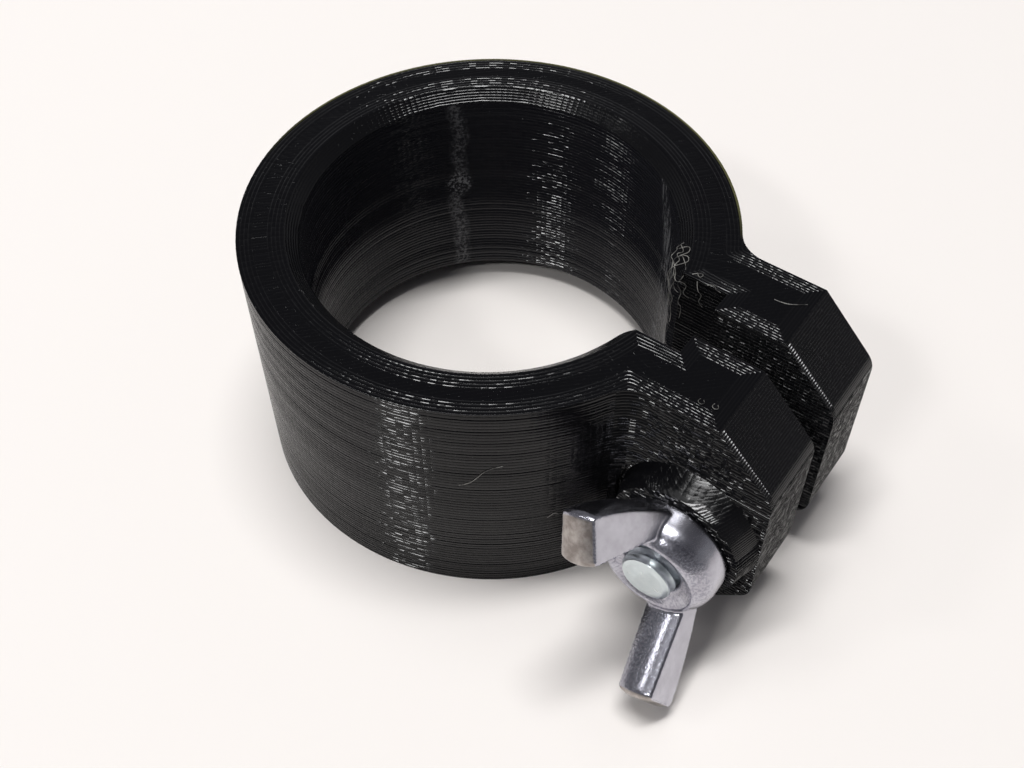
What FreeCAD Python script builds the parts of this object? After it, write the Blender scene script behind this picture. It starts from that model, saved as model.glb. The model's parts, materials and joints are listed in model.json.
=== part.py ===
# Tube clamp: a printed split ring with two lugs, drawn together by a bolt and a wing nut.
# Frame: origin at the centre of the bore at half height, +Z up along the bore,
# +X out along the lugs, +Y along the bolt towards its head. Millimetres.
import FreeCAD, Part

import math
import os

import Sketcher

V = FreeCAD.Vector

# Driving sizes: alias, value, what it is
SIZES = [
    ("ring_outer_d", 46.0, "outer diameter of the ring"),
    ("bore_d", 35.0, "bore, for a 35 mm tube"),
    ("band_height", 25.8, "height of ring and lugs"),
    ("top_chamfer", 1.2, "lead-in at the top of the bore"),
    ("low_chamfer", 2.0, "lead-in at the bottom of the bore"),
    ("ring_slot", 8.0, "width of the slot through the ring wall"),
    ("slot_corner_r", 0.9, "rounding where the slot meets the bore"),
    ("pad_inset", 0.4, "how far inside the ring's outline the lugs' inner pads begin"),
    ("lug_gap", 3.6, "gap between the pads, clamp open"),
    ("lug_thick", 7.6, "thickness of each lug"),
    ("lug_reach", 12.2, "how far the lugs stand out from the ring"),
    ("lug_slope", 5.8, "length and height of the slopes at the lugs' ends"),
    ("lug_corner_r", 2.5, "rounding between the slopes and the end face"),
    ("root_r", 3.5, "hollow fillet where a lug leaves the ring"),
    ("bolt_beyond", 5.25, "bolt axis, from the ring's outline"),
    ("bolt_drop", 0.9, "bolt axis below half height"),
    ("boss_base_r", 6.9, "conical boss, radius at the lug"),
    ("boss_tip_r", 6.2, "conical boss, radius at its seat"),
    ("boss_rise", 2.6, "height of the boss over the lug"),
    ("boss_relief", 0.3, "free room cut round the boss at the ring"),
    ("hole_clear", 0.2, "play of the bolt in its hole, all round"),
    ("head_recess", 3.9, "depth of the hexagon recess"),
    ("head_clear", 0.12, "play of the head in its recess, each side"),
    ("bolt_d", 5.0, "bolt thread, outer diameter"),
    ("bolt_length", 25.0, "bolt length under its head"),
    ("bolt_end_chamfer", 0.3, "chamfer at the bolt's end"),
    ("head_af", 8.0, "bolt head across flats"),
    ("head_height", 3.5, "height of the bolt head"),
    ("thread_play", 0.05, "play between nut and bolt, all round"),
    ("thread_mouth", 0.35, "chamfer at the mouths of the nut's bore"),
    ("hub_r", 5.5, "hub of the wing nut"),
    ("hub_side", 2.0, "height where the hub starts to close in"),
    ("hub_dome_r", 2.7, "curve of the hub from its side to its rim"),
    ("hub_rim_r", 4.3, "rim of the hub's front"),
    ("hub_height", 4.2, "height of that rim"),
    ("hub_rim_width", 0.2, "level width of that rim"),
    ("hub_cup", 0.6, "depth of the cup inside the rim"),
    ("hub_cup_run", 0.8, "width of the cup's slope"),
    ("hub_foot", 0.4, "bevel round the foot of the hub"),
    ("wing_root_thick", 4.4, "thickness of the wings, carried on to the nut's axis"),
    ("wing_tip_thick", 3.2, "thickness of the wings at their tips"),
    ("wing_root_r", 3.0, "inner edge of a wing, low in the hub"),
    ("wing_root_height", 1.2, "height of that point"),
    ("wing_peak_r", 8.3, "inner corner of a wing's end"),
    ("wing_peak_height", 11.1, "height of that corner"),
    ("wing_tip_r", 12.5, "outer corner of a wing's end"),
    ("wing_tip_height", 8.9, "height of that corner"),
    ("wing_heel_r", 5.2, "outer edge of a wing, low in the hub"),
    ("wing_heel_height", 0.6, "height of that point"),
    ("wing_back_r", 30.0, "curve of a wing's outer edge"),
    ("wing_corner_r", 0.6, "rounding of a wing's end, seen from the side"),
    ("wing_crown", 0.35, "fall of the wings' narrow faces towards their edges"),
    ("wing_crown_run", 1.0, "width of that fall on each side"),
    ("wing_crown_r", 3.0, "rounding in the middle of the wings' narrow faces"),
    ("nut_turn", 112.6, "turn of the wing nut as it stands"),
]

doc = FreeCAD.newDocument("tube_clamp")
sheet = doc.addObject("Spreadsheet::Sheet", "Sizes")
for row, (alias, value, note) in enumerate(SIZES, start=1):
    sheet.set("A%d" % row, alias)
    sheet.set("B%d" % row, str(value))
    sheet.set("C%d" % row, note)
    sheet.setAlias("B%d" % row, alias)
doc.recompute()

# Sizes that follow from the driving ones
HALF_HEIGHT = "Sizes.band_height / 2"
RING_R = "Sizes.ring_outer_d / 2"
PAD_START = "(" + RING_R + " - Sizes.pad_inset)"
LUG_END = "(" + RING_R + " + Sizes.lug_reach)"
LUG_FLAT_END = "(" + LUG_END + " - Sizes.lug_slope)"
BOLT_OUT = "(" + RING_R + " + Sizes.bolt_beyond)"
LUG_FACE = "Sizes.lug_gap / 2 + Sizes.lug_thick"
SEAT = LUG_FACE + " + Sizes.boss_rise"
RECESS_FLOOR = SEAT + " - Sizes.head_recess"


def value(text):
    """The number that an expression gives."""
    found = sheet.evalExpression(text.replace("Sizes.", ""))
    return float(getattr(found, "Value", found))


def new_body(label):
    body = doc.addObject("PartDesign::Body", label)
    body.Label = label
    return body


def new_sketch(body, name, plane, offset=("0", "0", "0")):
    """A sketch on one of the body's planes, its origin moved by three expressions."""
    sketch = body.newObject("Sketcher::SketchObject", name)
    support = [f for f in body.Origin.OriginFeatures if f.Role == plane][0]
    sketch.AttachmentSupport = (support, "")
    sketch.MapMode = "FlatFace"
    for axis, text in zip("xyz", offset):
        if text != "0":
            sketch.setExpression("AttachmentOffset.Base." + axis, text)
    doc.recompute()
    return sketch


def pin_point(sketch, line, end, point):
    """Ties one end of a line to a place given by two expressions."""
    for kind, axis, text in (("DistanceX", -2, point[0]), ("DistanceY", -1, point[1])):
        size = value(text)
        if abs(size) < 1e-9:
            sketch.addConstraint(Sketcher.Constraint("PointOnObject", line, end, axis))
            continue
        ends = (-1, 1, line, end) if size > 0 else (line, end, -1, 1)
        number = sketch.addConstraint(Sketcher.Constraint(kind, *ends, abs(size)))
        sketch.setExpression("Constraints[%d]" % number, "abs(" + text + ")")


def add_outline(sketch, points, arcs=None):
    """A closed outline of lines; arcs gives the sides that are arcs, by first point, and their radius."""
    arcs = arcs or {}
    spots = [V(value(x), value(y), 0) for x, y in points]
    first = sketch.GeometryCount
    count = len(points)
    # A sketch runs its arcs anticlockwise, so an arc here starts at its side's second point
    starts = [2 if i in arcs else 1 for i in range(count)]
    ends = [1 if i in arcs else 2 for i in range(count)]
    for i, spot in enumerate(spots):
        following = spots[(i + 1) % count]
        sketch.addGeometry(shallow_arc(spot, following, value(arcs[i])) if i in arcs
                           else Part.LineSegment(spot, following))
    for i in range(count):
        j = (i + 1) % count
        sketch.addConstraint(Sketcher.Constraint("Coincident", first + i, ends[i], first + j, starts[j]))
    for i, point in enumerate(points):
        pin_point(sketch, first + i, starts[i], point)
    for i, radius in arcs.items():
        number = sketch.addConstraint(Sketcher.Constraint("Radius", first + i, value(radius)))
        sketch.setExpression("Constraints[%d]" % number, radius)


def shallow_arc(a, b, radius):
    """The arc between a and b that bulges to the left of the way from a to b."""
    chord = b.sub(a)
    right = V(chord.y, -chord.x, 0).normalize()
    centre = a.add(b).multiply(0.5).add(right.multiply(math.sqrt(radius ** 2 - (chord.Length / 2) ** 2)))
    angle_a, angle_b = (math.atan2(p.y - centre.y, p.x - centre.x) for p in (a, b))
    if angle_a < angle_b:
        angle_a += 2 * math.pi
    return Part.ArcOfCircle(Part.Circle(centre, V(0, 0, 1), radius), angle_b, angle_a)


def add_circle(sketch, radius):
    number = sketch.addGeometry(Part.Circle(V(0, 0, 0), V(0, 0, 1), value(radius)))
    sketch.addConstraint(Sketcher.Constraint("Coincident", number, 3, -1, 1))
    tie = sketch.addConstraint(Sketcher.Constraint("Radius", number, value(radius)))
    sketch.setExpression("Constraints[%d]" % tie, radius)


def add_pad(body, sketch, name, length, midplane=False, reverse=False):
    pad = body.newObject("PartDesign::Pad", name)
    pad.Profile = sketch
    pad.setExpression("Length", length)
    pad.Midplane = midplane
    pad.Reversed = reverse
    doc.recompute()
    return pad


def add_pocket(body, sketch, name, length=None, reverse=False):
    """A cut of a set depth, or with no depth right through to both sides."""
    pocket = body.newObject("PartDesign::Pocket", name)
    pocket.Profile = sketch
    if length is None:
        pocket.Type = 1
        pocket.Midplane = True
    else:
        pocket.setExpression("Length", length)
        pocket.Reversed = reverse
    before = pocket.BaseFeature.Shape.Volume
    doc.recompute()
    check_cut(pocket, before)
    return pocket


def add_turned(body, sketch, name, kind):
    """A full turn of a sketch about its own vertical axis: Revolution adds, Groove cuts."""
    turned = body.newObject("PartDesign::" + kind, name)
    turned.Profile = sketch
    turned.ReferenceAxis = (sketch, ["V_Axis"])
    turned.Angle = 360.0
    before = turned.BaseFeature.Shape.Volume if turned.BaseFeature else None
    doc.recompute()
    if kind == "Groove":
        check_cut(turned, before)
    return turned


def check_cut(feature, before):
    if feature.Shape.Volume > before - 1e-3:
        raise RuntimeError(feature.Name + " cuts nothing")


def dress(body, kind, name, size, wanted):
    """A Fillet or a Chamfer on the edges of the body's tip that the test picks."""
    base = body.Tip
    names = ["Edge%d" % (i + 1) for i, edge in enumerate(base.Shape.Edges) if wanted(edge)]
    if not names:
        raise RuntimeError(name + " finds no edge")
    feature = body.newObject("PartDesign::" + kind, name)
    feature.Base = (base, names)
    feature.setExpression("Radius" if kind == "Fillet" else "Size", size)
    doc.recompute()
    check_solid(feature)
    return feature


def check_solid(feature):
    if feature.Shape.isNull() or not feature.Shape.isValid():
        raise RuntimeError(feature.Name + " fails")


def close(a, b, within=0.02):
    return abs(a - b) < within


def middle(edge):
    return edge.valueAt((edge.FirstParameter + edge.LastParameter) / 2)


def is_circle(edge, radius):
    return edge.Curve.TypeId == "Part::GeomCircle" and close(edge.Curve.Radius, radius)


def rises(edge):
    """True for a straight upright edge."""
    ends = [v.Point for v in edge.Vertexes]
    return len(ends) == 2 and close(ends[0].x, ends[1].x) and close(ends[0].y, ends[1].y)


# Printed ring and lugs

def make_clamp_body():
    body = new_body("clamp_body")
    half = value(HALF_HEIGHT)
    bolt_place = (BOLT_OUT, "0", "-Sizes.bolt_drop")

    ring = new_sketch(body, "ring_outline", "XY_Plane")
    add_circle(ring, RING_R)
    add_pad(body, ring, "ring", "Sizes.band_height", midplane=True)

    # Both lugs as one block, drawn from the side, with 45 degree slopes above and below
    lugs = new_sketch(body, "lug_outline", "XZ_Plane")
    add_outline(lugs, [
        ("Sizes.bore_d / 4", "-" + HALF_HEIGHT),
        (LUG_FLAT_END, "-" + HALF_HEIGHT),
        (LUG_END, "-(" + HALF_HEIGHT + " - Sizes.lug_slope)"),
        (LUG_END, HALF_HEIGHT + " - Sizes.lug_slope"),
        (LUG_FLAT_END, HALF_HEIGHT),
        ("Sizes.bore_d / 4", HALF_HEIGHT),
    ])
    add_pad(body, lugs, "lugs", "2 * (" + LUG_FACE + ")", midplane=True)
    end, corner = value(LUG_END), half - value("Sizes.lug_slope")
    dress(body, "Fillet", "lug_corners", "Sizes.lug_corner_r",
          lambda e: close(middle(e).x, end) and close(abs(middle(e).z), corner) and close(middle(e).y, 0))
    face = value(LUG_FACE)
    dress(body, "Fillet", "lug_roots", "Sizes.root_r",
          lambda e: rises(e) and close(abs(middle(e).y), face) and middle(e).x < value(RING_R))

    bore = new_sketch(body, "bore_outline", "XY_Plane")
    add_circle(bore, "Sizes.bore_d / 2")
    add_pocket(body, bore, "bore")
    radius = value("Sizes.bore_d / 2")
    for name, size, z in (("bore_top", "Sizes.top_chamfer", half), ("bore_low", "Sizes.low_chamfer", -half)):
        dress(body, "Chamfer", name, size, lambda e: is_circle(e, radius) and close(middle(e).z, z))

    slot = new_sketch(body, "slot_outline", "XY_Plane")
    add_outline(slot, [
        ("Sizes.bore_d / 4", "-Sizes.ring_slot / 2"),
        (PAD_START, "-Sizes.ring_slot / 2"),
        (PAD_START, "Sizes.ring_slot / 2"),
        ("Sizes.bore_d / 4", "Sizes.ring_slot / 2"),
    ])
    add_pocket(body, slot, "ring_slot")
    side = value("Sizes.ring_slot / 2")
    mouth = math.sqrt(radius ** 2 - side ** 2)
    dress(body, "Fillet", "slot_corners", "Sizes.slot_corner_r",
          lambda e: rises(e) and close(abs(middle(e).y), side) and close(middle(e).x, mouth))

    gap = new_sketch(body, "gap_outline", "XY_Plane")
    add_outline(gap, [
        (PAD_START + " - Sizes.ring_slot / 2", "-Sizes.lug_gap / 2"),
        (LUG_END + " + Sizes.ring_slot / 2", "-Sizes.lug_gap / 2"),
        (LUG_END + " + Sizes.ring_slot / 2", "Sizes.lug_gap / 2"),
        (PAD_START + " - Sizes.ring_slot / 2", "Sizes.lug_gap / 2"),
    ])
    add_pocket(body, gap, "lug_gap")

    # On each side a round relief cut into the root fillet, and in it a conical boss
    for side_name, sign in (("near", "-"), ("far", "")):
        relief = new_sketch(body, side_name + "_relief_outline", "XY_Plane", bolt_place)
        add_outline(relief, [
            ("0", sign + "(" + LUG_FACE + ")"),
            ("Sizes.boss_base_r + Sizes.boss_relief", sign + "(" + LUG_FACE + ")"),
            ("Sizes.boss_base_r + Sizes.boss_relief", sign + "(" + SEAT + " + Sizes.root_r)"),
            ("0", sign + "(" + SEAT + " + Sizes.root_r)"),
        ])
        add_turned(body, relief, side_name + "_relief", "Groove")
        boss = new_sketch(body, side_name + "_boss_outline", "XY_Plane", bolt_place)
        add_outline(boss, [
            ("0", sign + "(" + LUG_FACE + " - Sizes.lug_thick / 2)"),
            ("Sizes.boss_base_r", sign + "(" + LUG_FACE + " - Sizes.lug_thick / 2)"),
            ("Sizes.boss_base_r", sign + "(" + LUG_FACE + ")"),
            ("Sizes.boss_tip_r", sign + "(" + SEAT + ")"),
            ("0", sign + "(" + SEAT + ")"),
        ])
        add_turned(body, boss, side_name + "_boss", "Revolution")

    # The drawing plane XZ looks along -Y, so its own height is -Z of the offset below
    hole = new_sketch(body, "bolt_hole_outline", "XZ_Plane", (BOLT_OUT, "-Sizes.bolt_drop", "0"))
    add_circle(hole, "Sizes.bolt_d / 2 + Sizes.hole_clear")
    add_pocket(body, hole, "bolt_hole")

    recess = new_sketch(body, "head_recess_outline", "XZ_Plane",
                        (BOLT_OUT, "-Sizes.bolt_drop", "-(" + SEAT + ")"))
    add_hexagon(recess, "(Sizes.head_af + 2 * Sizes.head_clear)")
    add_pocket(body, recess, "head_recess", "Sizes.head_recess", reverse=True)
    return body


def add_hexagon(sketch, across):
    """A hexagon with two corners on the level axis."""
    corner, flat = across + " / sqrt(3)", across + " / 2"
    add_outline(sketch, [
        (corner, "0"),
        (corner + " / 2", flat),
        ("-" + corner + " / 2", flat),
        ("-" + corner, "0"),
        ("-" + corner + " / 2", "-" + flat),
        (corner + " / 2", "-" + flat),
    ])


# Hexagon bolt, its seat at its own origin and its shank along -Y

def make_bolt():
    body = new_body("bolt")
    shank = new_sketch(body, "shank_outline", "XY_Plane")
    add_outline(shank, [
        ("0", "0"),
        ("Sizes.bolt_d / 2", "0"),
        ("Sizes.bolt_d / 2", "-(Sizes.bolt_length - Sizes.bolt_end_chamfer)"),
        ("Sizes.bolt_d / 2 - Sizes.bolt_end_chamfer", "-Sizes.bolt_length"),
        ("0", "-Sizes.bolt_length"),
    ])
    add_turned(body, shank, "shank", "Revolution")
    head = new_sketch(body, "head_outline", "XZ_Plane")
    add_hexagon(head, "Sizes.head_af")
    add_pad(body, head, "head", "Sizes.head_height", reverse=True)
    # The corners of the head's outer face are turned off at 30 degrees
    corner = "Sizes.head_af / sqrt(3)"
    start = "Sizes.head_af * 0.475"
    bevel = new_sketch(body, "head_bevel_outline", "XY_Plane")
    add_outline(bevel, [
        (start, "Sizes.head_height"),
        (corner + " * 1.05", "Sizes.head_height - (" + corner + " * 1.05 - " + start + ") * tan(30)"),
        (corner + " * 1.05", "Sizes.head_height"),
    ])
    add_turned(body, bevel, "head_bevel", "Groove")
    body.Placement.Base = V(value(BOLT_OUT), value(RECESS_FLOOR), -value("Sizes.bolt_drop"))
    body.setExpression("Placement.Base.x", BOLT_OUT)
    body.setExpression("Placement.Base.y", RECESS_FLOOR)
    body.setExpression("Placement.Base.z", "-Sizes.bolt_drop")
    return body


# Forged wing nut, its seat at its own origin and its front along -Y

def make_wing_nut():
    body = new_body("wing_nut")
    # Until the hub joins them the wings are two blades, apart from each other
    body.AllowCompound = True
    wings = new_sketch(body, "wing_outlines", "XY_Plane")
    heel, tip, peak, root = (("Sizes.wing_%s_r" % name, "-Sizes.wing_%s_height" % name)
                             for name in ("heel", "tip", "peak", "root"))
    add_outline(wings, [heel, tip, peak, root], {0: "Sizes.wing_back_r"})
    add_outline(wings, [("-" + x, y) for x, y in (root, peak, tip, heel)], {2: "Sizes.wing_back_r"})
    add_pad(body, wings, "wings", "Sizes.wing_root_thick", midplane=True)
    dress(body, "Fillet", "wing_corners", "Sizes.wing_corner_r", lambda e: close(middle(e).z, 0))

    # Seen from the front the wings get thinner towards their tips
    taper = new_sketch(body, "taper_outlines", "XZ_Plane")
    for sign in ("", "-"):
        add_outline(taper, [
            ("0", sign + "Sizes.wing_root_thick / 2"),
            ("Sizes.wing_tip_r", sign + "Sizes.wing_tip_thick / 2"),
            ("Sizes.wing_tip_r", sign + "Sizes.wing_root_thick"),
            ("-Sizes.wing_tip_r", sign + "Sizes.wing_root_thick"),
            ("-Sizes.wing_tip_r", sign + "Sizes.wing_tip_thick / 2"),
        ])
    add_pocket(body, taper, "taper")

    # The narrow faces are crowned: they fall away to a crisp edge at the flat sides
    crown = dress(body, "Chamfer", "wing_falls", "Sizes.wing_crown",
                  lambda e: close(abs(middle(e).z), half_thickness(middle(e).x)))
    crown.ChamferType = "Two distances"
    crown.FlipDirection = True
    crown.setExpression("Size2", "Sizes.wing_crown_run")
    doc.recompute()
    check_solid(crown)
    inner = value("Sizes.wing_crown_run")
    dress(body, "Fillet", "wing_crowns", "Sizes.wing_crown_r",
          lambda e: 0.1 < abs(middle(e).z) < half_thickness(middle(e).x) - 0.9 * inner)

    hub = new_sketch(body, "hub_outline", "XY_Plane")
    rim, floor = "Sizes.hub_rim_r - Sizes.hub_rim_width", "-(Sizes.hub_height - Sizes.hub_cup)"
    add_outline(hub, [
        ("0", "0"),
        ("Sizes.hub_r - Sizes.hub_foot", "0"),
        ("Sizes.hub_r", "-Sizes.hub_foot"),
        ("Sizes.hub_r", "-Sizes.hub_side"),
        ("Sizes.hub_rim_r", "-Sizes.hub_height"),
        (rim, "-Sizes.hub_height"),
        (rim + " - Sizes.hub_cup_run", floor),
        ("0", floor),
    ], {3: "Sizes.hub_dome_r"})
    add_turned(body, hub, "hub", "Revolution")

    bore = new_sketch(body, "thread_outline", "XZ_Plane")
    add_circle(bore, "Sizes.bolt_d / 2 + Sizes.thread_play")
    add_pocket(body, bore, "thread")
    bore_r = value("Sizes.bolt_d / 2 + Sizes.thread_play")
    dress(body, "Chamfer", "thread_mouths", "Sizes.thread_mouth", lambda e: is_circle(e, bore_r))

    seat = V(value(BOLT_OUT), -value(SEAT), -value("Sizes.bolt_drop"))
    turn = FreeCAD.Rotation(V(0, -1, 0), value("Sizes.nut_turn"))
    body.Placement = FreeCAD.Placement(seat, turn)
    body.setExpression("Placement.Base.x", BOLT_OUT)
    body.setExpression("Placement.Base.y", "-(" + SEAT + ")")
    body.setExpression("Placement.Base.z", "-Sizes.bolt_drop")
    body.setExpression("Placement.Rotation.Angle", "Sizes.nut_turn")
    return body


def half_thickness(x):
    """Half the thickness of a wing at a distance x from the nut's axis."""
    root, end = value("Sizes.wing_root_thick / 2"), value("Sizes.wing_tip_thick / 2")
    return root - abs(x) / value("Sizes.wing_tip_r") * (root - end)


pieces = [make_clamp_body(), make_bolt(), make_wing_nut()]
doc.recompute()

for item in doc.Objects:
    if "Invalid" in item.State or "Error" in item.State:
        raise RuntimeError(item.Name + " failed: " + str(item.State))
os.makedirs("parts", exist_ok=True)
for piece in pieces:
    shape = piece.Shape
    if shape.isNull() or not shape.isValid() or len(shape.Solids) != 1:
        raise RuntimeError(piece.Label + " is not one valid solid")
    shape.exportStep("parts/" + piece.Label + ".step")
    box = shape.BoundBox
    print(piece.Label, round(shape.Volume, 1), "mm3",
          [round(s, 2) for s in (box.XMin, box.XMax, box.YMin, box.YMax, box.ZMin, box.ZMax)])
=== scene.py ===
# %% [markdown]
# A printed tube clamp
# The real thing is a split ring with two lugs, printed in black plastic in level layers. A
# zinc plated bolt goes through both lugs and a forged wing nut draws them together. The packed
# CAD model gives every piece its size and place, and this lesson gives each surface its look.

import functools
import json
import math

import bpy
from mathutils import Matrix, Vector

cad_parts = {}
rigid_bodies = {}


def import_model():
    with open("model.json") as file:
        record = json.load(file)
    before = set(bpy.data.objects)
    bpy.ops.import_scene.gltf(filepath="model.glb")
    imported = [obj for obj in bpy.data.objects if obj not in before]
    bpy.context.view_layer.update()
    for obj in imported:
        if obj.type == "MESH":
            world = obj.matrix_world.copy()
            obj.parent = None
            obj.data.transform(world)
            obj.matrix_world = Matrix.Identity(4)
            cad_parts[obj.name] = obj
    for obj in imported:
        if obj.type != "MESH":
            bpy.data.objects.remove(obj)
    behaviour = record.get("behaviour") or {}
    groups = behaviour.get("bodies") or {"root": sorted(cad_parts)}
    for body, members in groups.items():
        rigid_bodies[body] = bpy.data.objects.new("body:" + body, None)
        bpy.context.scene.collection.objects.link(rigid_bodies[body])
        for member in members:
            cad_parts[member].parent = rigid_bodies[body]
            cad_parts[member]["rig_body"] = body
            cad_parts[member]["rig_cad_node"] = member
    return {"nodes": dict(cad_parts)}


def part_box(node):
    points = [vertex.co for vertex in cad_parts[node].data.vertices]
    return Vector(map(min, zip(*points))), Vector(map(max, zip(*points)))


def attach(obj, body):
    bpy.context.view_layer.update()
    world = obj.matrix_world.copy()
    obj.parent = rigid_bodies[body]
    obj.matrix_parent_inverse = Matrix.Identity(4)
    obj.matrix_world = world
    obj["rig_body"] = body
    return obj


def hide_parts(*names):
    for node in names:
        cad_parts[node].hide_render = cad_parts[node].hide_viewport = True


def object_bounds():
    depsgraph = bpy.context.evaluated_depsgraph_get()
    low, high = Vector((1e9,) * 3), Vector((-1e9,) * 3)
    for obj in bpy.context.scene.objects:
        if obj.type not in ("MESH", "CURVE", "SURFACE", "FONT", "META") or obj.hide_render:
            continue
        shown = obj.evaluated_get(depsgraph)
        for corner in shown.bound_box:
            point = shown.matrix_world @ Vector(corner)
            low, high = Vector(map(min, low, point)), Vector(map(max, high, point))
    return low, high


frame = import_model()
cad_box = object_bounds()
MM = 0.001
print("CAD box in mm:", [round(v / MM, 2) for corner in cad_box for v in corner])

# %% [markdown]
# The photo looks down at the clamp at about 51 degrees, from the side of the wing nut. A real
# camera has a place, a direction and a lens, so those are what this cell sets. The sensor is
# the usual 36 mm one.

# %% Camera
CAMERA_PLACE = Vector((51.96, -68.79, 95.60)) * MM
CAMERA_DOWN = 0.894
CAMERA_TURN = 0.624
CAMERA_ROLL = 0.007
CAMERA_LENS = 45.6

bpy.ops.object.camera_add(location=CAMERA_PLACE)
camera = bpy.context.object
camera.name = "camera"
camera.data.sensor_width = 36
camera.data.lens = CAMERA_LENS
camera.data.clip_start = 0.005
aim = Matrix.Rotation(CAMERA_TURN, 4, "Z") @ Matrix.Rotation(math.pi / 2 - CAMERA_DOWN, 4, "X")
camera.rotation_euler = (aim @ Matrix.Rotation(-CAMERA_ROLL, 4, "Z")).to_euler()
bpy.context.scene.camera = camera
bpy.context.scene.view_settings.view_transform = "Standard"

# %% [markdown]
# Colours are written as sRGB hex values, the way a paint chart or a picture gives them, and
# Blender's nodes want linear light. One function turns one into the other. A second adds a
# node, fills its sockets and hands back one of its outputs, so that a material reads like a
# short recipe: each line is one node.

# %% Helpers for colours and nodes
def colour(code):
    parts = [int(code[i:i + 2], 16) / 255 for i in (1, 3, 5)]
    return [p / 12.92 if p <= 0.04045 else ((p + 0.055) / 1.055) ** 2.4 for p in parts] + [1.0]


def add_node(tree, kind, *given, out=0, **settings):
    """Adds a node and returns one output. given fills its sockets in order, from values or other
    outputs; settings are the node's own properties, and inputs in it a dict of sockets by name."""
    node = tree.nodes.new("ShaderNode" + kind)
    named = settings.pop("inputs", {})
    for name, setting in settings.items():
        setattr(node, name, setting)
    for name, value in [*enumerate(given), *named.items()]:
        if isinstance(value, bpy.types.NodeSocket):
            tree.links.new(value, node.inputs[name])
        else:
            node.inputs[name].default_value = value
    return node.outputs[out]


def new_material(name):
    """A material, its shader, and add_node set to work in its tree."""
    material = bpy.data.materials.new(name)
    material.use_nodes = True
    tree = material.node_tree
    return material, tree.nodes["Principled BSDF"], functools.partial(add_node, tree)


def place_in_mm(add):
    """The place on the piece, in millimetres. It moves with the piece."""
    return add("VectorMath", add("TexCoord", out="Object"), (1 / MM,) * 3, operation="MULTIPLY")


def tone_ramp(add, value, *stops):
    """A ramp between two colours. Each stop is a position and a colour code."""
    socket = add("ValToRGB", value)
    for element, (position, code) in zip(socket.node.color_ramp.elements, stops):
        element.position = position
        element.color = colour(code)
    return socket


def blend(add, share, under, over, **more):
    """Mixes two colours. share is how much of the second one shows."""
    return add("Mix", inputs={0: share, 6: under, 7: over}, out=2, data_type="RGBA", **more)


def link(socket, shader, name):
    shader.id_data.links.new(socket, shader.inputs[name])


def dress(piece, *materials):
    piece.data.materials.clear()
    for material in materials:
        piece.data.materials.append(material)


# %% [markdown]
# The clamp stands on a sheet of warm white paper. The paper is a plain diffuse floor: it takes
# the soft shadow, and the plastic and the zinc mirror it at a glancing angle.

# %% Floor
FLOOR_HALF = 1.5
bpy.ops.mesh.primitive_plane_add(size=2 * FLOOR_HALF, location=(0, 0, cad_box[0].z))
floor = bpy.context.object
floor.name = "floor"
paper, shader, add = new_material("warm_white_paper")
shader.inputs["Base Color"].default_value = colour("#f0ebe7")
shader.inputs["Roughness"].default_value = 0.9
shader.inputs["Specular IOR Level"].default_value = 0.1
dress(floor, paper)

# %% [markdown]
# The room is dim above and paler at the horizon. One long ceiling lamp runs from left to right
# over the clamp, with a faint glow on the ceiling round it, and one small lamp hangs in front:
# they make the bright dashes on the printed beads. A third lamp, on the left, draws the bright
# strip along the wing that hangs down. A wide soft lamp, hidden from reflections, gives the
# paper its light and the shadow its softness.

# %% Room and lamps
CEILING_TURN = 51.3
CEILING_TUBE = (-0.089, 0.002, 1.2)
CEILING_GLOW = (-0.089, 0.002, 1.25)
TUBE_LENGTH = 0.755
TUBE_WIDTH = 0.14
TUBE_POWER = 10.0


def add_lamp(name, place, width, depth, power, turn=0.0, seen=True):
    """An area lamp that looks at the clamp. Lengths are in metres, in the clamp's own axes, the
    power is in watts and turn, about the upright, in degrees."""
    place = Vector(place)
    bpy.ops.object.light_add(type="AREA", location=place)
    lamp = bpy.context.object
    lamp.name = name
    lamp.data.shape = "RECTANGLE"
    lamp.data.size = width
    lamp.data.size_y = depth
    lamp.data.energy = power
    facing = (-place).to_track_quat("-Z", "Y").to_matrix().to_4x4()
    turned = Matrix.Rotation(math.radians(turn), 4, "Z")
    lamp.matrix_world = Matrix.Translation(place) @ turned @ facing
    lamp.visible_glossy = seen


def far_away(azimuth, elevation, distance):
    """A place by compass: azimuth is counted from +X towards +Y, in degrees."""
    a, e = math.radians(azimuth), math.radians(elevation)
    return Vector((math.cos(a) * math.cos(e), math.sin(a) * math.cos(e), math.sin(e))) * distance


# The tube shines straight down, so it isn't aimed at the clamp as the other lamps are
bpy.ops.object.light_add(type="AREA", location=CEILING_TUBE, rotation=(0, 0, math.radians(CEILING_TURN)))
tube = bpy.context.object
tube.name = "ceiling_tube"
tube.data.shape = "RECTANGLE"
tube.data.size = TUBE_LENGTH
tube.data.size_y = TUBE_WIDTH
tube.data.energy = TUBE_POWER
add_lamp("ceiling_glow", CEILING_GLOW, 0.9, 0.42, 1.4, turn=CEILING_TURN)
add_lamp("soft_lamp", far_away(170, 79, 0.8), 0.40, 0.40, 1.1, seen=False)
add_lamp("front_lamp", far_away(-96, 48, 1.0), 0.17, 0.08, 1.5)
add_lamp("left_lamp", far_away(-142, 45, 1.0), 0.13, 0.13, 0.55)

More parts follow.
